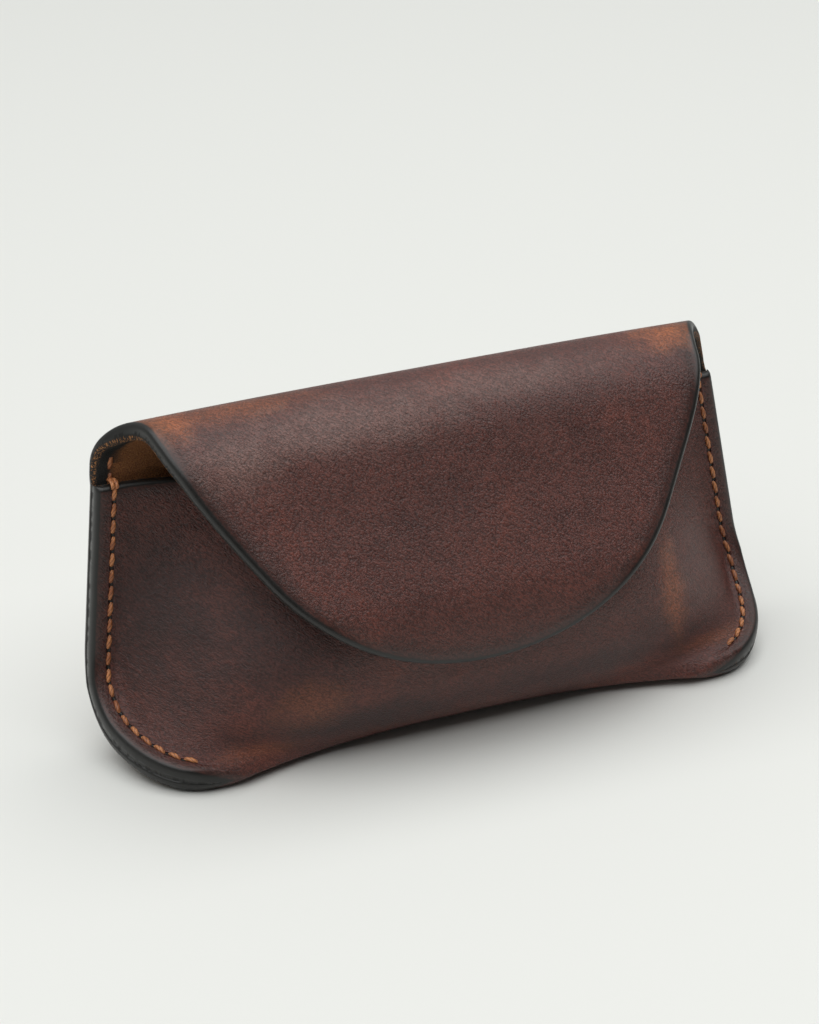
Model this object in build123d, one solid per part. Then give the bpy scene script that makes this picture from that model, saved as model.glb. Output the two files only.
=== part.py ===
from build123d import *
import math
import os

# A moulded leather glasses case in millimetres. +X is to the right of the closed case seen from
# its front, +Y points to its back and +Z up. Z is 0 on the floor that the belly rests on, and the
# case is centred in X and Y. One sheet of leather runs down the back, round the belly, up the
# moulded front to the mouth, and from the back up over the crown into the flap.

# The leather and the sewn sides
leather = 3.1
glue_line = 0.3
stitch_inset = 4.1
stitch_pitch = 3.85
stitch_length = 2.7
thread = 0.9
thread_sink = 0.25
front_stitches = 20
seam_round_toe = 2.0

# The pouch, seen from its end
back_lean = 8.8
belly_radius = 19.6
rear_radius = 8.9
rest_proud = 0.15
rest_length = 60.0
rest_run = 9.3
rest_margin = 0.3
belly_rise = 6.3
bend_radius = 24.5
flap_slope = 54.6
lip_slope = 52.5
lip_ease = 4.0
mouth_height = 61.3

# The flat sewn sides, which curl forward under the pouch
heel_radius = 16.5
toe_slope = 14.0
toe_run = 15.9
toe_lift = 0.15
flange = 6.0

# The outline of the sewn sides, as half widths
mouth_half_width = 76.0
widest = 82.0
widest_at = 46.0
corner_drop = 21.0
corner_power = 2.4

# The crown over the mouth, and the flap
flap_gap = 0.4
crown_radius = 11.35
crown_turn = 118.8
shoulder_radius = 24.0
tip_radius = 57.0
tip_side_angle = 58.0
tip_run = 2.4
tip_start_angle = 8.0

# How much narrower than the mouth each side of the crown is, by the distance above the mouth
crown_narrowing = [(0.0, 0.0), (4.0, 0.8), (8.0, 1.9), (12.0, 4.0), (16.0, 6.8), (20.0, 8.8)]
crown_narrowing += [(28.0, 10.0), (36.0, 11.5), (44.0, 14.5), (52.0, 18.8)]

# The fold opens at five lines across the crown, which share its turn between them
fold_lines = 5
strip_gap = 0.25
pivot_rise = 0.1

# The pair of magnets that holds the flap down
magnet_radius = 6.0
magnet_thickness = 1.5
magnet_cover = 0.8
pocket_room = 0.1
magnet_rise = 8.0

# How squarely the moulded front stands out of the sewn sides, at the belly and at the mouth
belly_power = 4.0
lip_power = 2.0
belly_softness = 0.9
lip_softness = 2.0

# How closely curved faces follow their places, and the steps that slopes and lengths are read with
surface_tolerance = 0.05
nudge = 0.01
seam_step = 0.05

stack = 2 * leather + glue_line
fold_radius = stack / 2


def arc(radius, turn):
    """A leg of a path that turns left by so many degrees, or right where the turn is negative."""
    return radius * math.radians(abs(turn)), turn


def trace(start, heading, legs, distance):
    """The point in Y and Z, and the heading, at a distance along straight and arc legs."""
    y, z = start
    for number, (length, turn) in enumerate(legs):
        last = number == len(legs) - 1
        step = distance if last else min(distance, length)
        bend = turn * step / length
        half = math.radians(bend) / 2
        chord = step if half == 0 else step * math.sin(half) / half
        y += chord * math.cos(math.radians(heading) + half)
        z += chord * math.sin(math.radians(heading) + half)
        heading += bend
        distance -= step
        if distance <= 0:
            break
    return y, z, heading


def length_of(legs):
    return sum(length for length, _ in legs)


def between(table, at):
    """A value read from a table of places and values, straight from one to the next."""
    for (low, first), (high, second) in zip(table, table[1:]):
        if at <= high or (high, second) == table[-1]:
            return first + (second - first) * (at - low) / (high - low)


# The middle of the pouch: the back, the flat rest, the round belly, the front and the lip under
# the flap. The belly's centre is at Y 0 here, and all is moved to the case's middle at the end.
down_back = 270 - back_lean
up_back = 90 - back_lean
cos_lean = math.cos(math.radians(back_lean))
sin_lean = math.sin(math.radians(back_lean))
belly_height = belly_radius + rest_proud
belly_start = (
    rest_run + rear_radius * cos_lean,
    rest_proud + rear_radius - rear_radius * sin_lean,
)
bend_turn = 90 - flap_slope
wall_legs = [
    arc(rear_radius, -(90 - back_lean)),
    (rest_run, 0),
    arc(belly_radius, -90),
    (belly_rise, 0),
    arc(bend_radius, -bend_turn),
]
_, bend_top, _ = trace(belly_start, down_back, wall_legs, length_of(wall_legs))
lip_run = (mouth_height - bend_top) / math.sin(math.radians(lip_slope)) - lip_ease

# The crown: its arcs land on the flap's straight run, which fixes how high the fold starts.
outer_bend = bend_radius + flap_gap + leather
bend_centre = (bend_radius - belly_radius, belly_height + belly_rise)
flap_bend_top = (
    bend_centre[0] - outer_bend * math.cos(math.radians(bend_turn)),
    bend_centre[1] + outer_bend * math.sin(math.radians(bend_turn)),
)
shoulder_turn = 90 + back_lean + flap_slope - crown_turn
crown_arcs = [arc(crown_radius, crown_turn), arc(shoulder_radius, shoulder_turn)]
crown_length = length_of(crown_arcs)
landing = trace(belly_start, up_back, crown_arcs, crown_length)
slope = math.radians(flap_slope)
across = (landing[0] - flap_bend_top[0]) * math.sin(slope)
across -= (landing[1] - flap_bend_top[1]) * math.cos(slope)
back_run = across / math.sin(math.radians(up_back) - slope)
fold_start = (belly_start[0] + back_run * sin_lean, belly_start[1] + back_run * cos_lean)
landing = trace(fold_start, up_back, crown_arcs, crown_length)
flap_run = math.hypot(landing[0] - flap_bend_top[0], landing[1] - flap_bend_top[1])
crown_legs = crown_arcs + [(flap_run, 0), arc(outer_bend, bend_turn), (tip_run, 0)]
sheet_top = length_of(crown_legs)

mid_legs = [(back_run, 0)] + wall_legs + [(lip_ease, lip_slope - flap_slope), (lip_run, 0)]

# The sewn side: down the back, forward under the pouch to the fold at the toe, back along its
# upper side and up to the mouth.
heel_turn = 90 - back_lean - toe_slope
toe_height = toe_lift + fold_radius
toe_centre_rise = toe_height + toe_run * math.sin(math.radians(toe_slope))
heel_middle = heel_radius + fold_radius
heel_centre_z = toe_centre_rise + heel_middle * math.cos(math.radians(toe_slope))
heel_start_z = heel_centre_z - (heel_radius + stack) * sin_lean
side_run = (fold_start[1] - heel_start_z) / cos_lean
over_mouth = (fold_start[1] - (mouth_height - stack * sin_lean)) / cos_lean
end_legs = [
    (side_run, 0),
    arc(heel_radius + stack, -heel_turn),
    (toe_run, 0),
    arc(fold_radius, -180),
    (toe_run, 0),
    arc(heel_radius, heel_turn),
    (side_run - over_mouth, 0),
]
sheet_length = length_of(end_legs)
fold_begins = length_of(end_legs[:3])
fold_ends = length_of(end_legs[:4])
mid_length = length_of(mid_legs)
corner_reach = side_run - over_mouth + math.radians(heel_turn) * heel_middle + toe_run
corner_reach += fold_radius - widest_at

front_most = -(belly_radius + flap_gap + leather)
back_most = fold_start[0] - crown_radius * cos_lean + crown_radius
middle = (front_most + back_most) / 2
into_place = Pos(0, -middle, 0)


def side_distance(d):
    """How far below the mouth a place on the sheet lies, measured along the sewn side."""
    upper = side_run - over_mouth
    heel = math.radians(heel_turn)
    back = [
        (0, -over_mouth),
        (side_run, upper),
        (length_of(end_legs[:2]), upper + heel * heel_middle),
        (fold_begins, upper + heel * heel_middle + toe_run),
    ]
    if d <= fold_begins:
        return between(back, d)
    if d >= fold_ends:
        front = [(sheet_length, 0), (sheet_length - upper, upper)]
        front += [(fold_ends + toe_run, back[2][1]), (fold_ends, back[3][1])]
        return between([(-place, value) for place, value in front], -d)
    return back[3][1] + fold_radius * math.sin((d - fold_begins) / fold_radius)


def pouch_half_width(d):
    along = side_distance(d)
    if along <= 0:
        return mouth_half_width - between(crown_narrowing, -along)
    if along <= widest_at:
        return mouth_half_width + (widest - mouth_half_width) * along / widest_at
    reach = min((along - widest_at) / corner_reach, 1)
    return widest - corner_drop * (1 - math.sqrt(1 - reach ** corner_power))


def bulge(d, x, half_width):
    """How far the leather leaves the sewn side's line, from 0 on the flange to 1 in the middle."""
    rise = max(d - fold_ends, 0) / (sheet_length - fold_ends)
    power = belly_power + (lip_power - belly_power) * rise
    softness = belly_softness + (lip_softness - belly_softness) * rise ** 2
    share = abs(x) / (half_width - flange)
    return (1 - share ** power) ** softness if share < 1 else 0.0


def pouch_point(d, u):
    half_width = pouch_half_width(d)
    if d <= fold_begins:
        matched = d
    else:
        matched = fold_begins + (d - fold_begins) * (mid_length - fold_begins) / (
            sheet_length - fold_begins
        )
    end_y, end_z, _ = trace(fold_start, down_back, end_legs, d)
    mid_y, mid_z, _ = trace(fold_start, down_back, mid_legs, matched)
    x = u * half_width
    share = bulge(d, x, half_width)
    return Vector(x, end_y + (mid_y - end_y) * share, end_z + (mid_z - end_z) * share)


def crown_point(d, u):
    """A place on the crown or the flap, by its distance above the start of the fold."""
    y, z, _ = trace(fold_start, up_back, crown_legs, d)
    from_tip = sheet_top - d
    above_mouth = d + over_mouth
    side_from_tip = tip_radius * (1 - math.cos(math.radians(tip_side_angle)))
    crown_end = crown_narrowing[-1][0]
    if above_mouth <= crown_end:
        half_width = mouth_half_width - between(crown_narrowing, above_mouth)
    elif from_tip > side_from_tip:
        side_half = tip_radius * math.sin(math.radians(tip_side_angle))
        side_at = sheet_top + over_mouth - side_from_tip
        crown_half = mouth_half_width - crown_narrowing[-1][1]
        half_width = between([(crown_end, crown_half), (side_at, side_half)], above_mouth)
    else:
        half_width = math.sqrt(max(tip_radius ** 2 - (tip_radius - from_tip) ** 2, 0))
    return Vector(u * half_width, y, z)


def inward(surface, d, u):
    """The way from the grain side to the flesh side at a place on the sheet."""
    inset_u = max(min(u, 1 - nudge), nudge - 1)
    along = surface(d + nudge, u) - surface(d - nudge, u)
    across_sheet = surface(d, inset_u + nudge) - surface(d, inset_u - nudge)
    way = along.cross(across_sheet).normalized()
    return way if surface is pouch_point else -way


def leather_piece(surface, stations, spread):
    """A closed solid of leather between two curved skins, its edges cut square to the sheet."""
    grain = [[surface(d, u) for u in spread] for d in stations]
    flesh = [[surface(d, u) + inward(surface, d, u) * leather for u in spread] for d in stations]
    skins = [Face.make_surface_from_array_of_points(side, tol=surface_tolerance) for side in (grain, flesh)]
    pairs = zip(skins[0].edges(), skins[1].edges())
    edges = [Face.make_surface_from_curves(first, second) for first, second in pairs]
    return Solid(Shell(skins + edges))


def steps(first, last, count):
    return [first + (last - first) * number / count for number in range(count + 1)]


def both_sides(shares):
    """Places across the sheet from edge to edge, as shares of its half width."""
    return [-share for share in reversed(shares[1:])] + shares


pouch_spread = both_sides([0, 0.2, 0.4, 0.56, 0.7, 0.8, 0.87, 0.92, 0.96, 1])
crown_spread = both_sides([0, 0.5, 1])


def fold_place(turn):
    """How far above the start of the fold the crown has turned by so many degrees."""
    if turn <= crown_turn:
        return crown_arcs[0][0] * turn / crown_turn
    return crown_arcs[0][0] + crown_arcs[1][0] * (turn - crown_turn) / shoulder_turn


fold_turn = crown_turn + shoulder_turn
line_turns = [fold_turn * (number + 0.5) / fold_lines for number in range(fold_lines)]
line_places = [fold_place(turn) for turn in line_turns]


def fold_pivot(place):
    """The line that the fold opens about, just proud of the grain side."""
    y, z, heading = trace(fold_start, up_back, crown_legs, place)
    normal = math.radians(heading - 90)
    return y + pivot_rise * math.cos(normal) - middle, z + pivot_rise * math.sin(normal)


def make_back_panel():
    """The back, the sides' rear layer and the belly, pressed flat where the case rests on it."""
    heel = length_of(end_legs[:2])
    rows = steps(0, side_run, 5) + steps(side_run, heel, 5)[1:] + steps(heel, fold_begins, 4)[1:]
    panel = leather_piece(pouch_point, rows, pouch_spread)
    top = leather_piece(crown_point, steps(0, line_places[0] - strip_gap / 2, 2), crown_spread)
    rest_depth = leather / 2
    rest = Pos(0, rest_run / 2, rest_depth / 2)
    rest *= Box(rest_length, rest_run - 2 * rest_margin, rest_depth)
    return panel + rest + top


def make_front_panel():
    """The fold at the toe, the sides' front layer, the moulded front and the lip."""
    heel = fold_ends + toe_run
    upright = length_of(end_legs[:6])
    rows = steps(fold_begins, fold_ends, 4) + steps(fold_ends, heel, 3)[1:]
    rows += steps(heel, upright, 4)[1:] + steps(upright, sheet_length, 5)[1:]
    return leather_piece(pouch_point, rows, pouch_spread) - magnet_pocket(*pouch_magnet_seat)


def make_fold_strip(number):
    first = line_places[number] + strip_gap / 2
    last = line_places[number + 1] - strip_gap / 2
    return leather_piece(crown_point, steps(first, last, 4), crown_spread)


def make_flap():
    """The flap from the last line of the fold to its round tip."""
    side_at = sheet_top - tip_radius * (1 - math.cos(math.radians(tip_side_angle)))
    rows = steps(line_places[-1] + strip_gap / 2, crown_length, 3)
    rows += steps(crown_length, side_at, 4)[1:]
    for angle in steps(tip_side_angle, tip_start_angle, 7)[1:]:
        rows.append(sheet_top - tip_radius * (1 - math.cos(math.radians(angle))))
    return leather_piece(crown_point, rows, crown_spread) - magnet_pocket(*flap_magnet_seat)


def seam_place(edge, side):
    """A place on the seam, square in from a place on the outline, and the way into the leather."""
    slope = (pouch_half_width(edge + nudge) - pouch_half_width(edge - nudge)) / (2 * nudge)
    square = stitch_inset / math.hypot(1, slope)
    d = edge + square * slope
    u = side * (pouch_half_width(edge) - square) / pouch_half_width(d)
    return pouch_point(d, u), inward(pouch_point, d, u)


def seam_edges(start, lengths):
    """The places on the outline that lie these lengths along the seam from its start."""
    found = []
    edge, run, point = start, 0, seam_place(start, 1)[0]
    for length in lengths:
        while run < length:
            edge += seam_step
            ahead = seam_place(edge, 1)[0]
            run += (ahead - point).length
            point = ahead
        found.append(edge)
    return found


def run_of_thread(start, end):
    way = end - start
    return Solid.make_cylinder(thread / 2, way.length, Plane(origin=start, z_dir=way))


def make_stitch(near, far, depth, side):
    """One stitch: a run on each face of the leather and a leg through it."""
    (start, start_way), (end, end_way) = seam_place(near, side), seam_place(far, side)
    back_start = start + start_way * (depth - thread_sink)
    back_end = end + end_way * (depth - thread_sink)
    start, end = start + start_way * thread_sink, end + end_way * thread_sink
    runs = [run_of_thread(start, back_start), run_of_thread(back_start, back_end)]
    rounds = [Pos(*corner) * Sphere(thread / 2) for corner in (start, end, back_start, back_end)]
    return run_of_thread(start, end).fuse(*runs, *rounds)


def make_seam(side):
    """The thread of one side seam, with its last stitch on the back alone, above the mouth."""
    starts = [number * stitch_pitch for number in range(front_stitches)]
    ends = [start + stitch_length for start in starts]
    near = seam_edges(fold_ends - seam_round_toe, starts)
    far = seam_edges(fold_ends - seam_round_toe, ends)
    stitches = [make_stitch(first, last, stack, side) for first, last in zip(near, far)]
    stitches.append(make_stitch(over_mouth, over_mouth - stitch_length, leather, side))
    return Compound(children=stitches)


# The magnets face each other through the flap and the lip, each let into the flesh side under a
# thin disc of leather. A seat is the place on the flesh side and the way towards the grain side.
pouch_magnet_mid = mid_length - lip_run - lip_ease + magnet_rise
pouch_magnet_place = fold_begins + (pouch_magnet_mid - fold_begins) * (
    sheet_length - fold_begins
) / (mid_length - fold_begins)
flap_magnet_place = sheet_top - tip_run - crown_legs[-2][0] - magnet_rise


def magnet_seat(surface, place):
    way = inward(surface, place, 0)
    return surface(place, 0) + way * leather, way * -1


pouch_magnet_seat = magnet_seat(pouch_point, pouch_magnet_place)
flap_magnet_seat = magnet_seat(crown_point, flap_magnet_place)


def disc(seat, way, radius, near, far):
    """A disc from one depth to another below the flesh side."""
    return Solid.make_cylinder(radius, far - near, Plane(origin=seat + way * near, z_dir=way))


def magnet_pocket(seat, way):
    return disc(seat, way, magnet_radius + pocket_room, -leather, magnet_cover + magnet_thickness)


def make_magnet(seat, way):
    return disc(seat, way, magnet_radius, magnet_cover, magnet_cover + magnet_thickness)


def make_magnet_cover(seat, way):
    return disc(seat, way, magnet_radius, 0, magnet_cover)


os.makedirs("parts", exist_ok=True)
pieces = {
    "back_panel": make_back_panel(),
    "front_panel": make_front_panel(),
    "flap": make_flap(),
    "left_seam_thread": make_seam(-1),
    "right_seam_thread": make_seam(1),
    "pouch_magnet": make_magnet(*pouch_magnet_seat),
    "pouch_magnet_cover": make_magnet_cover(*pouch_magnet_seat),
    "flap_magnet": make_magnet(*flap_magnet_seat),
    "flap_magnet_cover": make_magnet_cover(*flap_magnet_seat),
}
for number in range(fold_lines - 1):
    pieces[f"crown_fold_{number + 1}"] = make_fold_strip(number)
for name, solid in pieces.items():
    export_step(into_place * solid, f"parts/{name}.step")
for place in line_places:
    print("fold line at Y, Z", [round(value, 4) for value in fold_pivot(place)])
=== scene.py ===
import math

import bpy
import numpy as np
from mathutils import Matrix


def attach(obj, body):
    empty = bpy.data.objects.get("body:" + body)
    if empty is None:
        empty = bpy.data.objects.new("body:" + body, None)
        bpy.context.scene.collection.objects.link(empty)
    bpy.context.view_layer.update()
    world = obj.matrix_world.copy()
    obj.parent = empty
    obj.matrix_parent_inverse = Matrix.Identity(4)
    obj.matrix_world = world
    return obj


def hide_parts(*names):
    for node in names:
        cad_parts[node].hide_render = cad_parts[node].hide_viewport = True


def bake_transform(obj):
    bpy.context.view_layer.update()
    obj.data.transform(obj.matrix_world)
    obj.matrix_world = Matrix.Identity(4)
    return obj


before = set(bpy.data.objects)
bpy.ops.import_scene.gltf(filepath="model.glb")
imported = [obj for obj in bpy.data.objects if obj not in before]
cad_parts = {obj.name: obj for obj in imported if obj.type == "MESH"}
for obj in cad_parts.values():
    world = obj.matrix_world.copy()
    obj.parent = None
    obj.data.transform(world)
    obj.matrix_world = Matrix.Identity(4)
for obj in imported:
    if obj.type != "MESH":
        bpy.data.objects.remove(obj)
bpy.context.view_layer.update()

# The pouch. One sheet of vegetable-tanned leather, 3.1 mm thick, runs down the back, under the belly,
# round the toe and up the moulded front to the mouth. It is wet-moulded over a block, its two layers
# are glued and sewn at the sides, and the sewn edges are sanded, dyed black and burnished round.
mm = 0.001
leather = 3.1
stack = 6.5
back_lean = 8.8
rest_proud = 0.15
rest_run = 9.3
rear_radius = 8.9
belly_radius = 19.6
belly_rise = 6.3
bend_radius = 24.5
flap_slope = 54.6
lip_slope = 52.5
lip_ease = 4.0
mouth_height = 61.3
heel_radius = 16.5
toe_slope = 14.0
toe_run = 15.9
toe_lift = 0.15
flange = 6.0
flap_gap = 0.4
crown_radius = 11.35
crown_turn = 118.8
shoulder_radius = 24.0
tip_run = 2.4

# How squarely the moulding fills the width, at distances down the sheet from the fold
bulge_places = [0.0, 76.0, 90.0, 116.0, 168.2]
bulge_powers = [4.0, 4.0, 2.3, 3.3, 2.0]
belly_softness = 0.95
lip_softness = 2.0


def arc(radius, turn):
    """A leg that turns: its length and its turn in degrees."""
    return radius * math.radians(abs(turn)), turn


def length_of(legs):
    return sum(leg[0] for leg in legs)


def trace(start, heading, legs, distance):
    """The points in Y and Z at distances along a path of straight and arc legs."""
    left = np.asarray(distance, float)
    y = np.full(left.shape, float(start[0]))
    z = np.full(left.shape, float(start[1]))
    turned = np.full(left.shape, math.radians(heading))
    for number, (length, turn) in enumerate(legs):
        step = left if number == len(legs) - 1 else np.minimum(left, length)
        step = step if number == 0 else np.maximum(step, 0)
        bend = math.radians(turn) * step / length
        chord = step * np.sinc(bend / (2 * math.pi))
        y = y + chord * np.cos(turned + bend / 2)
        z = z + chord * np.sin(turned + bend / 2)
        turned = turned + bend
        left = left - step
    return y, z


down_back = 270 - back_lean
up_back = 90 - back_lean
cos_lean = math.cos(math.radians(back_lean))
sin_lean = math.sin(math.radians(back_lean))
belly_height = belly_radius + rest_proud
rear_height = rear_radius + rest_proud
belly_start = (rest_run + rear_radius * cos_lean, rear_height - rear_radius * sin_lean)
bend_turn = 90 - flap_slope
wall_legs = [arc(rear_radius, back_lean - 90), (rest_run, 0), arc(belly_radius, -90), (belly_rise, 0)]
wall_legs += [arc(bend_radius, -bend_turn)]
bend_top = float(trace(belly_start, down_back, wall_legs, length_of(wall_legs))[1])
lip_run = (mouth_height - bend_top) / math.sin(math.radians(lip_slope)) - lip_ease
outer_bend = bend_radius + flap_gap + leather
slope = math.radians(flap_slope)
flap_bend_top = (
    bend_radius - belly_radius - outer_bend * math.sin(slope),
    belly_height + belly_rise + outer_bend * math.cos(slope),
)
shoulder_turn = 90 + back_lean + flap_slope - crown_turn
crown_arcs = [arc(crown_radius, crown_turn), arc(shoulder_radius, shoulder_turn)]
landing = trace(belly_start, up_back, crown_arcs, length_of(crown_arcs))
across = (landing[0] - flap_bend_top[0]) * math.sin(slope)
across -= (landing[1] - flap_bend_top[1]) * math.cos(slope)
back_run = float(across) / math.sin(math.radians(up_back) - slope)
fold_start = (belly_start[0] + back_run * sin_lean, belly_start[1] + back_run * cos_lean)
mid_legs = [(back_run, 0)] + wall_legs + [(lip_ease, lip_slope - flap_slope), (lip_run, 0)]
mid_length = length_of(mid_legs)

heel_turn = 90 - back_lean - toe_slope
fold_radius = stack / 2
heel_middle = heel_radius + fold_radius
toe_rise = toe_lift + fold_radius + toe_run * math.sin(math.radians(toe_slope))
heel_centre_z = toe_rise + heel_middle * math.cos(math.radians(toe_slope))
side_run = (fold_start[1] - heel_centre_z + (heel_radius + stack) * sin_lean) / cos_lean
over_mouth = (fold_start[1] - mouth_height + stack * sin_lean) / cos_lean
end_legs = [(side_run, 0), arc(heel_radius + stack, -heel_turn), (toe_run, 0), arc(fold_radius, -180)]
end_legs += [(toe_run, 0), arc(heel_radius, heel_turn), (side_run - over_mouth, 0)]
sheet_length = length_of(end_legs)
fold_begins = length_of(end_legs[:3])
fold_ends = length_of(end_legs[:4])
front_most = -(belly_radius + flap_gap + leather)
back_most = fold_start[0] + crown_radius * (1 - cos_lean)
middle = (front_most + back_most) / 2

# The outline of the sheet: half widths at distances below the mouth, along the middle of the sewn
# side. Above the mouth, where the distances are negative, the crown and the flap narrow to the tip.
mouth_half_width = 76.0
widest = 82.0
widest_at = 46.0
corner_drop = 21.0
corner_power = 2.4
tip_radius = 57.0
tip_side_angle = 58.0
crown_places = [-8.0, 0.0, 4.0, 8.0, 12.0, 16.0, 20.0, 24.0, 28.0, 36.0, 44.0, 52.0]
crown_narrowing = [-1.0, 0.0, 0.3, 1.0, 2.6, 5.0, 7.3, 8.9, 9.9, 11.5, 14.5, 18.8]
crown_length = length_of(crown_arcs)
landing = trace(fold_start, up_back, crown_arcs, crown_length)
flap_run = math.hypot(landing[0] - flap_bend_top[0], landing[1] - flap_bend_top[1])
crown_legs = crown_arcs + [(flap_run, 0), arc(outer_bend, bend_turn), (tip_run, 0)]
sheet_top = length_of(crown_legs)
tip_above = sheet_top + over_mouth
tip_side_depth = tip_radius * (1 - math.cos(math.radians(tip_side_angle)))
tip_side_half = tip_radius * math.sin(math.radians(tip_side_angle))
tip_side_fall = 1 / math.tan(math.radians(tip_side_angle))
side_length = side_run - over_mouth
heel_length = math.radians(heel_turn) * heel_middle
toe_begins = side_length + heel_length
toe_ends = toe_begins + toe_run
lowest = toe_ends + fold_radius


def half_width(below):
    """Half the width of the sheet. Above the mouth it is a mean over a short reach, so that the
    straight stretches between its places run softly into each other."""
    rise = -np.asarray(below, float)
    past = 10.0
    mean_reach = 3.0
    places = crown_places + [tip_above - tip_side_depth, tip_above - tip_side_depth + past]
    widths = [mouth_half_width - narrowing for narrowing in crown_narrowing]
    widths += [tip_side_half, tip_side_half - past * tip_side_fall]
    shifts = np.linspace(-mean_reach, mean_reach, 13)
    upper = sum(np.interp(rise + shift, places, widths) for shift in shifts) / len(shifts)
    from_tip = np.clip(tip_above - rise, 0, tip_radius)
    round_tip = np.sqrt(tip_radius ** 2 - (tip_radius - from_tip) ** 2)
    side = mouth_half_width + (widest - mouth_half_width) * -rise / widest_at
    reach = np.clip((-rise - widest_at) / (lowest - widest_at), 0, 1)
    corner = widest - corner_drop * (1 - np.sqrt(1 - reach ** corner_power))
    lower = np.where(reach > 0, corner, side)
    return np.where(from_tip < tip_side_depth, round_tip, np.where(rise > 0, upper, lower))


def outline_slope(below):
    """How fast the half width grows downwards, held within what the grid can follow."""
    nudge = 0.1
    steepest = 3.0
    below = np.minimum(below, lowest - nudge)
    growth = (half_width(below + nudge) - half_width(below - nudge)) / (2 * nudge)
    return np.clip(growth, -steepest, steepest)


def below_mouth(d):
    """How far below the mouth a place d down the sheet from the fold lies."""
    turns = [-sheet_top, side_run, fold_begins - toe_run, fold_begins]
    turns += [fold_ends, fold_ends + toe_run, sheet_length - side_length, sheet_length]
    below = [-tip_above, side_length, toe_begins, toe_ends, toe_ends, toe_begins, side_length, 0]
    around = np.clip((d - fold_begins) / fold_radius, 0, math.pi)
    return np.interp(d, turns, below) + fold_radius * np.sin(around)


def smooth(value):
    """A soft step from 0 to 1."""
    value = np.clip(value, 0, 1)
    return value * value * (3 - 2 * value)


def pouch_grain(d, x):
    """The grain side of the pouch at distances down the sheet from the fold, and across it."""
    half = half_width(below_mouth(d))
    scale = (mid_length - fold_begins) / (sheet_length - fold_begins)
    matched = np.where(d <= fold_begins, d, fold_begins + (d - fold_begins) * scale)
    end_y, end_z = trace(fold_start, down_back, end_legs, d)
    mid_y, mid_z = trace(fold_start, down_back, mid_legs, matched)
    rise = np.clip((d - fold_ends) / (sheet_length - fold_ends), 0, 1)
    reach = np.clip(np.abs(x) / (half - flange), 0, 1)
    between_places = np.interp(d, bulge_places, range(len(bulge_places)))
    eased = np.floor(between_places) + smooth(between_places % 1)
    power = np.interp(eased, range(len(bulge_powers)), bulge_powers)
    softness = belly_softness + (lip_softness - belly_softness) * rise ** 2
    share = (1 - reach ** power) ** softness
    return np.stack([x, end_y + (mid_y - end_y) * share - middle, end_z + (mid_z - end_z) * share], -1)


def grain_normal(surface, d, x):
    """The way out of the leather on its grain side."""
    nudge = 0.02
    along = surface(d + nudge, x) - surface(d - nudge, x)
    aside = surface(d, x + nudge) - surface(d, x - nudge)
    way = np.cross(aside, along)
    return way / np.linalg.norm(way, axis=-1, keepdims=True)


def edge_round(inset, reach, squareness):
    """The share of its full height that leather with a dressed edge has at a distance in from it."""
    roundness = 2.2
    return (1 - (1 - np.clip(inset / reach, 0, 1)) ** roundness) ** (1 / squareness)


# How far in from the edge the grid's lines lie: closest together at the edge and by the stitches
stitch_inset = 4.1
edge_steps = np.array([
    0, 0.03, 0.09, 0.19, 0.33, 0.5, 0.72, 0.98, 1.28, 1.6, 2.0, 2.5, 3.0, 3.4, 3.65, 3.88,
    4.1, 4.32, 4.55, 4.85, 5.3, 6.0, 6.9, 8.0,
])
middle_columns = 104


def spread(below):
    """Places across each row of the sheet, and how far in from the edge they lie: lines that keep
    their distance from the edge, and an even middle."""
    half = half_width(below)[:, None]
    stretch = np.sqrt(1 + outline_slope(below) ** 2)[:, None]
    lines = half - edge_steps * stretch
    from_tip = (tip_above + below)[:, None]
    inner = tip_radius - edge_steps
    round_lines = np.sqrt(np.maximum(inner ** 2 - (tip_radius - from_tip) ** 2, 0))
    lines = np.maximum(np.where(from_tip < tip_side_depth, round_lines, lines), 0)
    evenly = np.linspace(-1, 1, middle_columns + 2)[1:-1] * lines[:, -1:]
    x = np.concatenate([-lines, evenly, lines[:, ::-1]], 1)
    inset = np.where(
        from_tip < tip_side_depth,
        tip_radius - np.hypot(x, tip_radius - from_tip),
        (half - np.abs(x)) / stretch,
    )
    return x, np.maximum(inset, 0)


def row_places(first, *stretches):
    """Places along the sheet: each stretch has its end and the step up to it."""
    places = [first]
    for end, step in stretches:
        count = max(1, round(abs(end - places[-1]) / step))
        places += list(np.linspace(places[-1], end, count + 1)[1:])
    return np.array(places)


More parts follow.
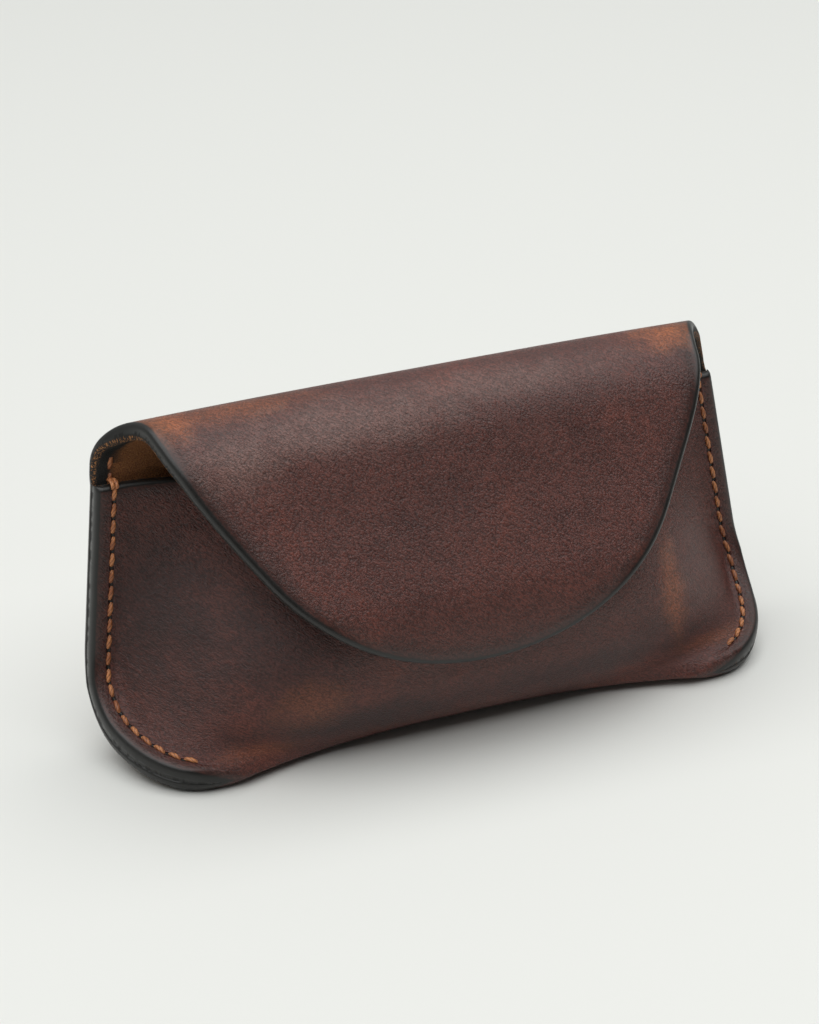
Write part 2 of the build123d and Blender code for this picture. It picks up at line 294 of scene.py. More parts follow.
def shaped_grid(name, places, layers, loops):
    """A smooth closed skin: a grid is added, moved row by row to its places, and sewn up."""
    merged_within = 0.002
    rows, columns = places.shape[:2]
    bpy.ops.object.select_all(action="DESELECT")
    bpy.ops.mesh.primitive_grid_add(x_subdivisions=columns - 1, y_subdivisions=rows - 1, size=1)
    made = bpy.context.object
    made.name = made.data.name = name
    mesh = made.data
    mesh.vertices.foreach_set("co", (places * mm).astype(np.float32).ravel())
    for label, values in layers.items():
        layer = mesh.attributes.new(label, "FLOAT", "POINT")
        layer.data.foreach_set("value", values.astype(np.float32).ravel())
    corners = np.empty(len(mesh.loops), int)
    mesh.loops.foreach_get("vertex_index", corners)
    flat = loops.reshape(-1, 2)[corners] * mm
    mesh.uv_layers[0].data.foreach_set("uv", flat.astype(np.float32).ravel())
    bpy.ops.object.mode_set(mode="EDIT")
    bpy.ops.mesh.select_all(action="SELECT")
    bpy.ops.mesh.remove_doubles(threshold=merged_within * mm)
    bpy.ops.mesh.select_all(action="DESELECT")
    bpy.ops.mesh.select_mode(type="EDGE")
    bpy.ops.mesh.select_non_manifold(extend=False, use_wire=False, use_multi_face=False,
                                     use_non_contiguous=False, use_verts=False)
    bpy.ops.mesh.mark_sharp()
    bpy.ops.mesh.fill_holes(sides=0)
    bpy.ops.mesh.select_all(action="SELECT")
    bpy.ops.mesh.normals_make_consistent(inside=False)
    bpy.ops.object.mode_set(mode="OBJECT")
    bpy.ops.object.shade_smooth()
    return made


def leather_skin(name, d, x, inset, edge, top, bottom, stitches):
    """A closed skin that goes round the sheet: over its grain side, and back under its flesh side."""
    def wrap(over, under):
        return np.concatenate([over, under[:, ::-1], over[:, :1]], 1)

    down = np.repeat(d[:, None], x.shape[1], 1)
    layers = {
        "edge": wrap(edge, edge),
        "inset": wrap(inset, inset),
        "flesh": wrap(np.zeros(x.shape), np.ones(x.shape)),
        "stitch": wrap(stitches, stitches),
    }
    sheet = np.stack([wrap(x, x), wrap(down, down)], -1)
    return shaped_grid(name, wrap(top, bottom), layers, sheet)


# The seam's run: its length along the grain side, from its start at the toe up to the mouth and on
# above it, for each place on the outline.
stitch_pitch = 3.85
first_run = 1.35
seam_round_toe = 2.0
seam_above_mouth = 16.0
seam_steps = 1400


def front_d(below):
    """The place on the front layer that lies this far below the mouth."""
    flat = np.interp(below, [0, side_length, toe_begins, toe_ends],
                     [sheet_length, sheet_length - side_length, fold_ends + toe_run, fold_ends])
    return flat - fold_radius * np.arcsin(np.clip((below - toe_ends) / fold_radius, 0, 1))


def back_d(below):
    """The place on the back layer that lies this far below the mouth."""
    flat = np.interp(below, [-tip_above, side_length, toe_begins, toe_ends],
                     [-sheet_top, side_run, fold_begins - toe_run, fold_begins])
    return flat + fold_radius * np.arcsin(np.clip((below - toe_ends) / fold_radius, 0, 1))


def seam_line(edge_below):
    """Where the seam runs, in X and below the mouth, beside places on the outline."""
    fall = outline_slope(edge_below)
    square = stitch_inset / np.sqrt(1 + fall ** 2)
    return half_width(edge_below) - square, edge_below + square * fall


seam_start = toe_ends + fold_radius * math.sin(seam_round_toe / fold_radius)
seam_edges = np.linspace(seam_start, -seam_above_mouth, seam_steps)
seam_x, seam_below = seam_line(seam_edges)
seam_points = pouch_grain(front_d(np.maximum(seam_below, 0)), seam_x)
above = seam_below < 0
seam_points[above, 2] += -seam_below[above]
seam_lengths = np.linalg.norm(np.diff(seam_points, axis=0), axis=1)
seam_runs = np.concatenate([[0], np.cumsum(seam_lengths)])


def stitch_number(below, inset):
    """How many stitches along the seam a place beside it lies."""
    fall = outline_slope(below)[:, None]
    edge_below = below[:, None] - inset * fall / np.sqrt(1 + fall ** 2)
    return np.interp(-edge_below, -seam_edges, seam_runs) / stitch_pitch


# The sheet's two faces. On the sewn sides each layer rounds on its grain side alone, down to just
# past the middle of the stack, and the grain is pressed into a shallow groove under the stitches.
# The black of the edge is narrower round the toe, most of all on its right.
sewn_reach = 1.6
sewn_squareness = 3.5
sewn_overlap = 0.04
free_reach = 1.3
free_squareness = 2.6
free_ease = 3.0
groove_depth = 0.22
groove_width = 0.5
groove_ease = 2.0
less_dyed_left = 0.3
less_dyed_right = 1.6
cut_row = 0.05
pouch_rows = row_places(
    0, (cut_row, cut_row), (side_run, 1.2), (fold_begins - 15, 0.9), (fold_begins - 3, 0.5),
    (fold_begins, 0.3), (fold_ends, 0.25), (fold_ends + 3, 0.3), (fold_ends + 15, 0.5),
    (sheet_length - side_length, 0.9), (sheet_length - 2.4, 1.1), (sheet_length - 1.5, 0.3),
    (sheet_length - 0.35, 0.16), (sheet_length - 0.05, 0.06), (sheet_length, 0.05),
)
below = below_mouth(pouch_rows)
x, inset = spread(below)
down = np.repeat(pouch_rows[:, None], x.shape[1], 1)
grain = pouch_grain(down, x)
outward = grain_normal(pouch_grain, down, x)
flesh = grain - outward * leather
around = np.clip((down - fold_begins) / fold_radius, 0, math.pi)
toe_way = math.radians(down_back - heel_turn + 90)
toe_down = np.array([0, math.cos(toe_way), math.sin(toe_way)])
in_fold = ((down > fold_begins) & (down < fold_ends))[..., None]
inward = np.where(in_fold, toe_down * np.cos(around)[..., None], outward)
to_middle = inward * (stack / 2 + sewn_overlap)
free = smooth((over_mouth + free_ease / 2 - down) / free_ease)[..., None]
sewn = edge_round(inset, sewn_reach, sewn_squareness)[..., None]
single = edge_round(inset, free_reach, free_squareness)[..., None]
groove = groove_depth * np.exp(-((inset - stitch_inset) / groove_width) ** 2)
groove = groove * smooth((seam_start - below)[:, None] / groove_ease)
top = grain - to_middle * (1 - sewn) * (1 - free) - outward * leather / 2 * (1 - single) * free
top = top - outward * groove[..., None]
bottom = flesh + (grain - to_middle - flesh) * (1 - sewn) * (1 - free)
bottom = bottom + outward * leather / 2 * (1 - single) * free
mouth = edge_round(sheet_length - pouch_rows, free_reach, free_squareness)[:, None, None]
heart = (top + bottom) / 2
top = heart + (top - heart) * mouth
bottom = heart + (bottom - heart) * mouth
less_dyed = np.sin(around) * np.where(x > 0, less_dyed_right, less_dyed_left)
from_edge = np.minimum(inset * (1 + less_dyed), np.maximum(sheet_length - down, 0))
stitches = stitch_number(below, inset)
pouch = leather_skin("pouch_leather", pouch_rows, x, inset, from_edge, top, bottom, stitches)
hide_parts("back_panel", "front_panel")
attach(pouch, "pouch")


# The leather's finish, for all the pieces of the sheet. The grain side is dyed dark reddish brown,
# rubbed back to orange in places, and waxed. Its edges are dyed black, and its flesh side is bare.
def add(tree, kind, inputs, **settings):
    """A node with its settings, and each input linked to a socket or set to a value."""
    made = tree.nodes.new(kind)
    for key, value in settings.items():
        setattr(made, key, value)
    for key, value in inputs.items():
        if isinstance(value, bpy.types.NodeSocket):
            tree.links.new(value, made.inputs[key])
        else:
            made.inputs[key].default_value = value
    return made


def figure(tree, operation, first, second=0.0, third=0.0, clamp=False):
    settings = {"operation": operation, "use_clamp": clamp}
    return add(tree, "ShaderNodeMath", {0: first, 1: second, 2: third}, **settings).outputs[0]


def between(tree, value, low, high, start=0.0, end=1.0):
    """A soft step from start to end while the value goes from low to high."""
    inputs = {"Value": value, "From Min": low, "From Max": high, "To Min": start, "To Max": end}
    return add(tree, "ShaderNodeMapRange", inputs, interpolation_type="SMOOTHSTEP").outputs[0]


def blend_colour(tree, share, first, second, way="MIX"):
    inputs = {0: share, 6: first, 7: second}
    return add(tree, "ShaderNodeMix", inputs, data_type="RGBA", blend_type=way).outputs[2]


def tone(red, green, blue):
    return red, green, blue, 1.0


def new_finish(name):
    finish = bpy.data.materials.new(name)
    finish.use_nodes = True
    return finish, finish.node_tree, finish.node_tree.nodes["Principled BSDF"]


def named(tree, label):
    return add(tree, "ShaderNodeAttribute", {}, attribute_name=label).outputs["Fac"]


def noise(tree, where, scale, detail=3.0, roughness=0.55, distortion=0.0):
    inputs = {"Vector": where, "Scale": scale, "Detail": detail, "Roughness": roughness,
              "Distortion": distortion}
    return add(tree, "ShaderNodeTexNoise", inputs, noise_dimensions="3D").outputs[0]


near_black = tone(0.009, 0.0085, 0.0075)
deep_brown = tone(0.030, 0.007, 0.005)
mid_brown = tone(0.092, 0.027, 0.02)
red_brown = tone(0.13, 0.033, 0.021)
rubbed_orange = tone(0.31, 0.09, 0.03)
flesh_tan = tone(0.38, 0.16, 0.05)
flesh_dark = tone(0.17, 0.06, 0.02)

# Where the dye is rubbed back, in millimetres across and down the sheet: the place, the size and the
# strength of each spot
rubbed_spots = [
    (62, -21, 11, 6, 1.0), (-64, -20, 9, 7, 1.0), (-46, -20, 18, 5, 0.45), (52, 122, 4, 13, 0.55),
    (64, 101, 11, 3.5, 0.3), (-40, 112, 8, 7, 0.3), (-52, 97, 9, 4, 0.3), (30, 34, 40, 12, 0.3),
]

# Where the leather is darker, in the same way: darker dye in places, and painted shade low on
# the front, under the flap's tip, and on the left side
darker_dye_and_shade_spots = [
    (-66, 140, 12, 26, 0.9), (-44, 128, 20, 16, 0.7), (-28, 104, 26, 7, 0.9), (24, 106, 34, 5, 0.7),
    (44, 112, 10, 7, 0.5), (20, -34, 34, 6, 0.3), (62, -30, 6, 12, 0.45), (-2, -52, 16, 6, 0.2),
]

leather_finish, tree, shader = new_finish("waxed_brown_leather")
sheet = add(tree, "ShaderNodeUVMap", {}).outputs[0]
sheet_mm = add(tree, "ShaderNodeVectorMath", {0: sheet, "Scale": 1 / mm}, operation="SCALE").outputs[0]
edge = named(tree, "edge")
inset_mm = named(tree, "inset")
flesh_side = named(tree, "flesh")
stitch = named(tree, "stitch")

clouds = noise(tree, sheet_mm, 0.034, 3.0, 0.6, 0.6)
drifts = noise(tree, sheet_mm, 0.16, 4.0, 0.6, 0.3)
flecks = noise(tree, sheet_mm, 2.2, 3.0, 0.6)
dye = figure(tree, "MULTIPLY_ADD", clouds, 0.7, figure(tree, "MULTIPLY", drifts, 0.3))
grain_tone = blend_colour(tree, between(tree, dye, 0.26, 0.5, 0.45, 1.0), deep_brown, mid_brown)
grain_tone = blend_colour(tree, between(tree, dye, 0.5, 0.7), grain_tone, red_brown)


def spotted(tree, spots):
    """How strongly a place lies in one of some soft-edged spots."""
    share = None
    for across_at, down_at, wide, long, strength in spots:
        inputs = {0: sheet_mm, 1: (across_at, down_at, 0)}
        away = add(tree, "ShaderNodeVectorMath", inputs, operation="SUBTRACT").outputs[0]
        inputs = {0: away, 1: (1 / wide, 1 / long, 1)}
        away = add(tree, "ShaderNodeVectorMath", inputs, operation="MULTIPLY").outputs[0]
        away = add(tree, "ShaderNodeVectorMath", {0: away}, operation="LENGTH").outputs["Value"]
        away = figure(tree, "ADD", away, figure(tree, "MULTIPLY_ADD", drifts, 1.6, -0.8))
        spot = between(tree, away, 0.1, 1.5, strength, 0.0)
        share = spot if share is None else figure(tree, "MAXIMUM", share, spot)
    return share


# Darker dye, and painted shade low on the front and on the left side
grain_tone = blend_colour(tree, spotted(tree, darker_dye_and_shade_spots), grain_tone, deep_brown)
grain_tone = blend_colour(tree, spotted(tree, rubbed_spots), grain_tone, rubbed_orange)

# Painted sheen: pale highlights painted on the front shoulder of the fold
painted_sheen_tone = tone(0.20, 0.118, 0.10)
painted_sheen_spots = [(-24, -31, 30, 7, 0.45), (-50, -35, 11, 8, 0.5), (14, -27, 28, 5, 0.35)]
grain_tone = blend_colour(tree, spotted(tree, painted_sheen_spots), grain_tone, painted_sheen_tone)

# The pebble of the grain, with fine creases that run slantwise over it.
warp = add(tree, "ShaderNodeTexNoise", {"Vector": sheet_mm, "Scale": 1.1, "Detail": 2.0}).outputs["Color"]
warp = add(tree, "ShaderNodeVectorMath", {0: warp, "Scale": 0.7}, operation="SCALE").outputs[0]
warped = add(tree, "ShaderNodeVectorMath", {0: sheet_mm, 1: warp}, operation="ADD").outputs[0]
pebbles = add(tree, "ShaderNodeTexVoronoi", {"Vector": warped, "Scale": 2.0, "Smoothness": 0.4},
              feature="SMOOTH_F1", voronoi_dimensions="2D").outputs["Distance"]
inputs = {"Vector": warped, "Rotation": (0, 0, math.radians(-45)), "Scale": (1.15, 0.4, 1)}
slanted = add(tree, "ShaderNodeMapping", inputs, vector_type="TEXTURE")
creases = noise(tree, slanted.outputs[0], 1.0, 3.0, 0.6, 0.5)
grain_height = figure(tree, "MULTIPLY_ADD", creases, 2.1, figure(tree, "MULTIPLY", pebbles, -0.6))
grain_height = figure(tree, "MULTIPLY_ADD", flecks, 0.3, grain_height)
# Painted shade in the creases and painted highlight on the raised grain, following the relief
grain_light_and_shade = between(tree, grain_height, 0.6, 1.4, 0.55, 1.42)
grain_light_and_shade = add(tree, "ShaderNodeCombineColor", {0: grain_light_and_shade, 1: grain_light_and_shade, 2: grain_light_and_shade}).outputs[0]
grain_tone = blend_colour(tree, 1.0, grain_tone, grain_light_and_shade, "MULTIPLY")
grain_tone = blend_colour(tree, between(tree, edge, 0.6, 5.0, 0.55, 0.0), grain_tone, near_black)

# The awl's holes: two to each stitch, where the thread goes in
hole_flatness = 2.6
phase = figure(tree, "FRACT", figure(tree, "ADD", stitch, 0.5 - first_run / stitch_pitch))
from_middle = figure(tree, "ABSOLUTE", figure(tree, "SUBTRACT", phase, 0.5))
along = figure(tree, "MULTIPLY", figure(tree, "SUBTRACT", from_middle, 0.5), stitch_pitch)
along = figure(tree, "MULTIPLY", along, along)
aside = figure(tree, "SUBTRACT", inset_mm, stitch_inset)
aside = figure(tree, "MULTIPLY", figure(tree, "MULTIPLY", aside, aside), hole_flatness)
apart = figure(tree, "SQRT", figure(tree, "ADD", along, aside))
sewn_part = figure(tree, "GREATER_THAN", stitch, 0.02)
hole = figure(tree, "MULTIPLY", between(tree, apart, 0.45, 0.95, 1.0, 0.0), sewn_part)
# Painted shade: each hole is painted near black for the shade in its depth
grain_tone = blend_colour(tree, hole, grain_tone, near_black)

# Black edge dye, a little uneven where it meets the grain, and further in on the rough flesh side
wander = figure(tree, "MULTIPLY_ADD", drifts, 0.8, -0.4)
limit = figure(tree, "ADD", edge, figure(tree, "MULTIPLY", wander, 0.5))
dyed_grain = between(tree, limit, 0.75, 1.25, 1.0, 0.0)
limit = figure(tree, "ADD", edge, figure(tree, "MULTIPLY", wander, 4.0))
dyed_flesh = between(tree, limit, 3.0, 5.6, 1.0, 0.0)

# The bare flesh side, with pale fibres that the knife has torn along its edges
fibres = noise(tree, sheet_mm, 2.6, 4.0, 0.7, 0.4)
flesh_tone = blend_colour(tree, between(tree, fibres, 0.35, 0.7), flesh_dark, flesh_tan)
flesh_tone = blend_colour(tree, dyed_flesh, flesh_tone, near_black)
colour = blend_colour(tree, dyed_grain, grain_tone, near_black)
colour = blend_colour(tree, flesh_side, colour, flesh_tone)
torn = figure(tree, "MULTIPLY", between(tree, edge, 0.01, 0.06), between(tree, edge, 0.5, 1.3, 1.0, 0.0))
torn = figure(tree, "MULTIPLY", torn, between(tree, fibres, 0.5, 0.62))
colour = blend_colour(tree, figure(tree, "MULTIPLY", torn, flesh_side), colour, flesh_tan)
tree.links.new(colour, shader.inputs["Base Color"])

# Its shine and its relief: waxed grain, burnished edges, pierced holes and a raised nap
rough = between(tree, figure(tree, "ADD", drifts, flecks), 0.7, 1.3, 0.34, 0.46)
rough = figure(tree, "ADD", rough, figure(tree, "MULTIPLY", flesh_side, 0.45), clamp=True)
tree.links.new(rough, shader.inputs["Roughness"])
shader.inputs["Specular IOR Level"].default_value = 0.5
height = figure(tree, "MULTIPLY", grain_height, between(tree, edge, 1.0, 2.4))
height = figure(tree, "ADD", height, figure(tree, "MULTIPLY", hole, -3.0))
nap = figure(tree, "MULTIPLY", fibres, between(tree, edge, 0.4, 2.0, 0.6, 4.0))
height = add(tree, "ShaderNodeMix", {0: flesh_side, 2: height, 3: nap}, data_type="FLOAT").outputs[0]
bump = add(tree, "ShaderNodeBump", {"Height": height, "Strength": 0.9, "Distance": 0.16 * mm})
tree.links.new(bump.outputs[0], shader.inputs["Normal"])
pouch.data.materials.append(leather_finish)


# The fold over the crown: five lengths of the sheet, cut at even steps of the fold's turn. They
# meet edge to edge, so the leather stays whole.
fold_lines = 5
fold_turn = crown_turn + shoulder_turn
crown_droop = 1.0
crown_skew = 0.9
crown_skew_until = 28.0
flap_bow = 0.8
flap_bow_from = 16.0
magnet_rise = 8.0
magnet_room = 6.5
flap_magnet_place = sheet_top - tip_run - crown_legs[-2][0] - magnet_rise
flap_bow_until = flap_magnet_place - magnet_room
crowd_swell = 1.0
crowd_inset = 7.0
crowd_from = 4.0
crowd_rise = 7.0
crowd_past = 8.0
crowd_fall = 12.0
stitches_above = 3.6
flap_dye = 0.72


def turn_place(turn):
    """How far up the sheet, from the start of the fold, it has bent through this turn."""
    if turn <= crown_turn:
        return crown_arcs[0][0] * turn / crown_turn
    return crown_arcs[0][0] + crown_arcs[1][0] * (turn - crown_turn) / shoulder_turn


def crown_grain(d, x):
    """The grain side above the start of the fold, where the distances down the sheet are negative.
    The fold sits a little lower at its two ends than in the middle, and a little to the right, and
    the flap is bowed slightly outwards between the fold and its magnet."""
    y, z = trace(fold_start, up_back, crown_legs, -d)
    bowed = np.clip((-d - flap_bow_from) / (flap_bow_until - flap_bow_from), 0, 1)
    bow = flap_bow * np.sin(math.pi * bowed) ** 2
    y = y - bow * math.sin(slope)
    z = z + bow * math.cos(slope)
    over = np.sin(math.pi * np.clip(-d / crown_length, 0, 1)) ** 2
    skew = np.sin(math.pi * np.clip(-d / crown_skew_until, 0, 1)) ** 2
    outer = np.clip(np.abs(x) / mouth_half_width, 0, 1) ** 3
    return np.stack([x + crown_skew * skew, y - middle, z - crown_droop * over * outer], -1)


def crown_piece(name, rows):
    """A length of the single sheet above the fold's start, its free edges dressed round. The sharp
    bend crowds the leather at the ends of the fold, which makes it thicker there on its flesh side."""
    below = below_mouth(rows)
    x, inset = spread(below)
    down = np.repeat(rows[:, None], x.shape[1], 1)
    grain = crown_grain(down, x)
    outward = grain_normal(crown_grain, down, x)
    crowded = smooth(1 - inset / crowd_inset) * smooth((-down - crowd_from) / crowd_rise)
    crowded = crowded * smooth((crown_length + crowd_past + down) / crowd_fall)
    flesh = grain - outward * (leather + crowd_swell * crowded)[..., None]
    single = edge_round(inset, free_reach, free_squareness)[..., None]
    heart = (grain + flesh) / 2
    top = heart + (grain - heart) * single
    bottom = heart + (flesh - heart) * single
    stitches = np.where(down > -stitches_above, stitch_number(below, inset), 0)
    made = leather_skin(name, rows, x, inset, inset * flap_dye, top, bottom, stitches)
    made.data.materials.append(leather_finish)
    return made


cuts = [turn_place(fold_turn * number / fold_lines) for number in range(fold_lines + 1)]
for number in range(fold_lines):
    first, last = cuts[number], cuts[number + 1]
    rows = -row_places(first, (first + cut_row, cut_row), (last - cut_row, 0.5), (last, cut_row))
    piece = crown_piece(f"crown_leather_{number + 1}", rows)
    if number < fold_lines - 1:
        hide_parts(f"crown_fold_{number + 1}")
    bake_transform(piece)

# The flap: the sheet's free end, a single layer of leather that is cut to a wide round tip. Its edge
# is dressed round and dyed black, and it lies over the lip of the pouch and the top of its front.
flap_rows = -row_places(
    cuts[-1], (cuts[-1] + cut_row, cut_row), (sheet_top - 14, 0.8), (sheet_top - 5, 0.5),
    (sheet_top - 1.6, 0.3), (sheet_top - 0.5, 0.12), (sheet_top - 0.1, 0.06), (sheet_top - 0.01, 0.03),
)
flap = crown_piece("flap_leather", flap_rows)
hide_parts("flap")
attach(flap, "flap")


# The closure: two plated disc magnets let into the leather, one in the flap and one in the lip, each
# under a thin round patch of split leather that is glued over it on the flesh side.
patch_radius = 7.2
patch_rise = 0.25
patch_depth = 0.5
patch_edge = 0.6
patch_squareness = 2.4
far_in = 20.0


def leather_patch(name, surface, place):
    """A thin round patch that follows the flesh side, far in from any dyed edge."""
    flat = patch_radius - patch_edge
    rounding = flat + patch_edge * np.array([0.3, 0.55, 0.75, 0.9, 1])
    reach = np.concatenate([np.linspace(0, flat, 12), rounding])
    turn = np.linspace(0, 2 * math.pi, 73)
    x = reach[:, None] * np.cos(turn)
    d = place + reach[:, None] * np.sin(turn)
    grain = surface(d, x)
    outward = grain_normal(surface, d, x)
    rise = patch_rise * edge_round(patch_radius - reach, patch_edge, patch_squareness)[:, None, None]
    top = grain - outward * (leather + rise)
    bottom = grain - outward * (leather - patch_depth)
    places = np.concatenate([top, bottom[::-1]])
    bare = np.ones(places.shape[:2])
    layers = {"edge": bare * far_in, "inset": bare * far_in, "flesh": bare, "stitch": bare * 0}
    sheet = np.stack([np.concatenate([x, x[::-1]]), np.concatenate([d, d[::-1]])], -1)
    made = shaped_grid(name, places, layers, sheet)
    made.data.materials.append(leather_finish)
    return made


lip_place = mid_length - lip_run - lip_ease + magnet_rise - fold_begins
lip_place = fold_begins + lip_place * (sheet_length - fold_begins) / (mid_length - fold_begins)
lip_patch = leather_patch("pouch_magnet_patch", pouch_grain, lip_place)
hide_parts("pouch_magnet_cover")
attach(lip_patch, "pouch")
flap_patch = leather_patch("flap_magnet_patch", crown_grain, -flap_magnet_place)
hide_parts("flap_magnet_cover")
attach(flap_patch, "flap")


def place_in_mm(tree):
    """Where a point of a piece lies, in millimetres."""
    place = add(tree, "ShaderNodeTexCoord", {}).outputs["Object"]
    return add(tree, "ShaderNodeVectorMath", {0: place, "Scale": 1 / mm}, operation="SCALE").outputs[0]


plate_finish, tree, shader = new_finish("satin_nickel_plate")
nickel_bright = tone(0.62, 0.60, 0.56)
nickel_dull = tone(0.45, 0.43, 0.40)
scuffs = noise(tree, place_in_mm(tree), 1.4, 4.0, 0.65)
plate = blend_colour(tree, between(tree, scuffs, 0.4, 0.7), nickel_bright, nickel_dull)
tree.links.new(plate, shader.inputs["Base Color"])
tree.links.new(between(tree, scuffs, 0.35, 0.7, 0.25, 0.45), shader.inputs["Roughness"])
shader.inputs["Metallic"].default_value = 1.0
for node in ("pouch_magnet", "flap_magnet"):
    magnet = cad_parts[node]
    magnet.data.materials.clear()
    magnet.data.materials.append(plate_finish)


# The seams: saddle stitches of waxed thread, 3.85 mm apart, sewn with two needles through both
# layers. Each stitch is one strand, twisted of three plies, that dives into a hole at both ends.
plies = 3
ply_depth = 0.09
thread_finish, tree, shader = new_finish("waxed_tan_thread")
thread_light = tone(0.62, 0.255, 0.10)
thread_dark = tone(0.30, 0.10, 0.038)
between_plies = tone(0.06, 0.02, 0.009)
place_mm = place_in_mm(tree)
worn = noise(tree, place_mm, 0.25, 2.0)
strands = noise(tree, place_mm, 3.5, 3.0)
colour = blend_colour(tree, between(tree, worn, 0.35, 0.65), thread_dark, thread_light)
colour = blend_colour(tree, between(tree, strands, 0.4, 0.75, 0.0, 0.6), colour, thread_dark)
# Painted shade in the grooves between the plies
ply_groove_shade = between(tree, named(tree, "ply"), 0.0, 0.6, 0.75, 0.0)
colour = blend_colour(tree, ply_groove_shade, colour, between_plies)
tree.links.new(colour, shader.inputs["Base Color"])
shader.inputs["Roughness"].default_value = 0.5
bump = add(tree, "ShaderNodeBump", {"Height": strands, "Strength": 0.5, "Distance": 0.06 * mm})
tree.links.new(bump.outputs[0], shader.inputs["Normal"])


def strand(name, centres, asides, ups, width, height, turns):
    """A twisted strand along a row of places, tapered to both ends and closed there."""
    sides = 18
    end_reach = 0.985
    fullness = 2.4
    bluntness = 0.55
    turn = np.linspace(0, 2 * math.pi, sides + 1)[None, :]
    along = np.linspace(0, 1, len(centres))[:, None]
    ply = np.abs(np.cos(plies / 2 * (turn - turns * 2 * math.pi * along)))
    swell = 1 - ply_depth * 2 * (1 - ply)
    taper = (1 - (np.abs(2 * along - 1) * end_reach) ** fullness) ** bluntness
    wide = (width / 2 * swell * taper * np.cos(turn))[..., None] * asides[:, None, :]
    high = (height / 2 * swell * taper * np.sin(turn))[..., None] * ups[:, None, :]
    places = centres[:, None, :] + wide + high
    loops = np.stack([np.broadcast_to(turn, ply.shape), np.broadcast_to(along, ply.shape)], -1)
    made = shaped_grid(name, places, {"ply": ply}, loops)
    made.data.materials.append(thread_finish)
    return made


stitch_run = 3.35
stitch_width = 1.12
stitch_height = 0.9
stitch_twist = 0.8
stitch_lift = 0.06
stitch_dive = 0.42
stitch_slant = 7
slant_play = 3
stitch_steps = np.linspace(-1, 1, 21)
lifts = stitch_lift - stitch_dive * np.abs(stitch_steps) ** 3
stitch_centres = np.stack([stitch_steps * stitch_run / 2, np.zeros(len(lifts)), lifts], 1)
aside_ways = np.tile([0.0, 1.0, 0.0], (len(lifts), 1))
up_ways = np.tile([0.0, 0.0, 1.0], (len(lifts), 1))
pattern_stitch = strand(
    "pattern_stitch", stitch_centres, aside_ways, up_ways, stitch_width, stitch_height, stitch_twist,
)
random = np.random.default_rng(5)


def seam_frame(run, side, layer):
    """The place, the way along, the way across and the way out of the leather on a seam."""
    nudge = 0.1
    spots = []
    for at in (run - nudge, run, run + nudge):
        edge_below = np.interp([at], seam_runs, seam_edges)
        line_x, line_below = seam_line(edge_below)
        d = layer(line_below)
        surface = pouch_grain if d[0] >= 0 else crown_grain
        spots.append((surface(d, side * line_x)[0], grain_normal(surface, d, side * line_x)[0]))
    along = spots[2][0] - spots[0][0]
    along /= np.linalg.norm(along)
    out = spots[1][1]
    return spots[1][0], along, np.cross(out, along), out


def lay_stitch(run, side, layer, inside=0.0):
    """A stitch laid slantwise on a seam, on the grain side or this far inside it."""
    at, along, aside, out = seam_frame(run, side, layer)
    if inside:
        at, out, aside = at - out * inside, -out, -aside
    lean = math.radians(stitch_slant * side + random.uniform(-slant_play, slant_play))
    turned = along * math.cos(lean) + aside * math.sin(lean)
    square = np.cross(out, turned)
    size = random.uniform(0.95, 1.06)
    rows = [[turned[i] * size, square[i], out[i], at[i] * mm] for i in range(3)]
    turn = Matrix(rows + [[0, 0, 0, 1]])
    made = pattern_stitch.copy()
    made.data = pattern_stitch.data.copy()
    bpy.context.scene.collection.objects.link(made)
    made.data.transform(turn)
    if turn.to_3x3().determinant() < 0:
        made.data.flip_normals()
    return made


# Above the lip of the mouth the thread goes on through the back layer alone, on both its sides, and
# it is taken twice over the lip to hold it.
front_stitches = 20
upper_stitches = 2
mouth_run = float(np.interp(0, -seam_below, seam_runs))
wrap_turns = np.radians(np.linspace(-55, 190, 31))
wrap_before_mouth = 0.3
wrap_lift = 0.15
wrap_rise = 0.95
wrap_depth = 1.6
wrap_reach = 2.0
wrap_aside = 0.5
wrap_width = 1.0
wrap_height = 0.8
wrap_twist = 1.6


def lay_wrap(name, side, shift):
    """A turn of the thread over the lip, from the front layer's grain side to its flesh side."""
    at, along, aside, out = seam_frame(mouth_run - wrap_before_mouth, side, front_d)
    rise = np.sin(wrap_turns)[:, None]
    depth = np.cos(wrap_turns)[:, None]
    centres = at + along * (wrap_lift + wrap_rise * rise) + out * (-wrap_depth + wrap_reach * depth)
    centres = centres + aside * shift
    asides = np.tile(aside, (len(wrap_turns), 1))
    return strand(name, centres, asides, along * rise + out * depth, wrap_width, wrap_height, wrap_twist)


for side, name in ((-1, "left_seam"), (1, "right_seam")):
    laid = [lay_wrap(f"{name}_wrap_{shift}", side, shift * wrap_aside) for shift in (-1, 1)]
    for number in range(front_stitches + upper_stitches):
        run = first_run + number * stitch_pitch
        if number < front_stitches:
            laid.append(lay_stitch(run, side, front_d))
        else:
            laid.append(lay_stitch(run, side, back_d, inside=leather))
        laid.append(lay_stitch(run, side, back_d))
    bpy.ops.object.select_all(action="DESELECT")
    for piece in laid:
        piece.select_set(True)
    bpy.context.view_layer.objects.active = laid[0]
    bpy.ops.object.join()
    seam = bpy.context.object
    seam.name = seam.data.name = name
    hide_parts(f"{name}_thread")
    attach(seam, "pouch")
bpy.data.objects.remove(pattern_stitch)


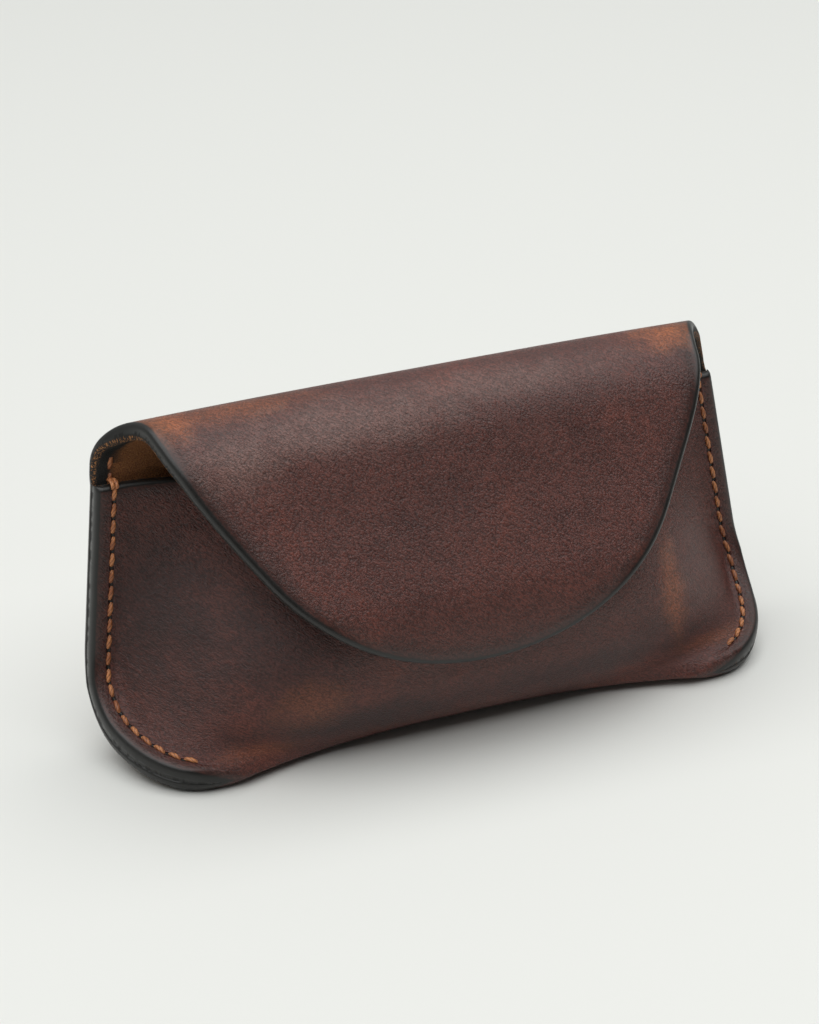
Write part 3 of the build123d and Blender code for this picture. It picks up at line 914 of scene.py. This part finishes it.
# The floor is a pale matt table. The camera stands to the front left of the case and looks down on
# it. Its axis passes a little to the left of the aim point, and above it.
bpy.ops.object.select_all(action="DESELECT")
bpy.ops.mesh.primitive_plane_add(size=8, location=(0, 0, 0))
floor = bpy.context.object
floor.name = "floor"
floor_finish, tree, shader = new_finish("pale_table")
shader.inputs["Base Color"].default_value = tone(0.76, 0.765, 0.735)
shader.inputs["Roughness"].default_value = 0.6
floor.data.materials.append(floor_finish)

turn = math.radians(22.92)
tilt = math.radians(28)
camera_distance = 773.9
aim_right = -3.64
aim_up = 18.05
aim_point = np.array([0, 12.03, 22.3])
film = 36
focal_pixels = 3345
photo_height = 1024
right = np.array([math.cos(turn), -math.sin(turn), 0])
backward = np.array([-math.sin(turn) * math.cos(tilt), -math.cos(turn) * math.cos(tilt), math.sin(tilt)])
upward = np.cross(backward, right)
spot = (aim_point + right * aim_right + upward * aim_up + backward * camera_distance) * mm
bpy.ops.object.camera_add(location=tuple(spot), rotation=(math.pi / 2 - tilt, 0, -turn))
camera = bpy.context.object
camera.data.sensor_width = film
camera.data.lens = film * focal_pixels / photo_height
camera.data.clip_start = 0.01
bpy.context.scene.camera = camera

# Soft studio light: a wide panel overhead, and a pale room that grows dark towards the front right,
# so that the front of the leather shines less than its top.
bpy.ops.object.light_add(type="AREA", location=(0.05, -0.1, 1.3), rotation=(math.radians(-4), 0, 0))
panel = bpy.context.object
panel.data.shape = "RECTANGLE"
panel.data.size = 2.4
panel.data.size_y = 2.0
panel.data.energy = 29
room = bpy.data.worlds.new("room")
room.use_nodes = True
tree = room.node_tree
way = add(tree, "ShaderNodeTexCoord", {}).outputs["Generated"]
towards = add(tree, "ShaderNodeVectorMath", {0: way, 1: (0.3, -0.88, 0.36)}, operation="DOT_PRODUCT")
strength = between(tree, towards.outputs["Value"], 0.0, 0.85, 0.40, 0.04)
tree.nodes["Background"].inputs["Color"].default_value = tone(0.96, 1.0, 0.98)
tree.links.new(strength, tree.nodes["Background"].inputs["Strength"])
bpy.context.scene.world = room
bpy.context.scene.view_settings.view_transform = "Standard"
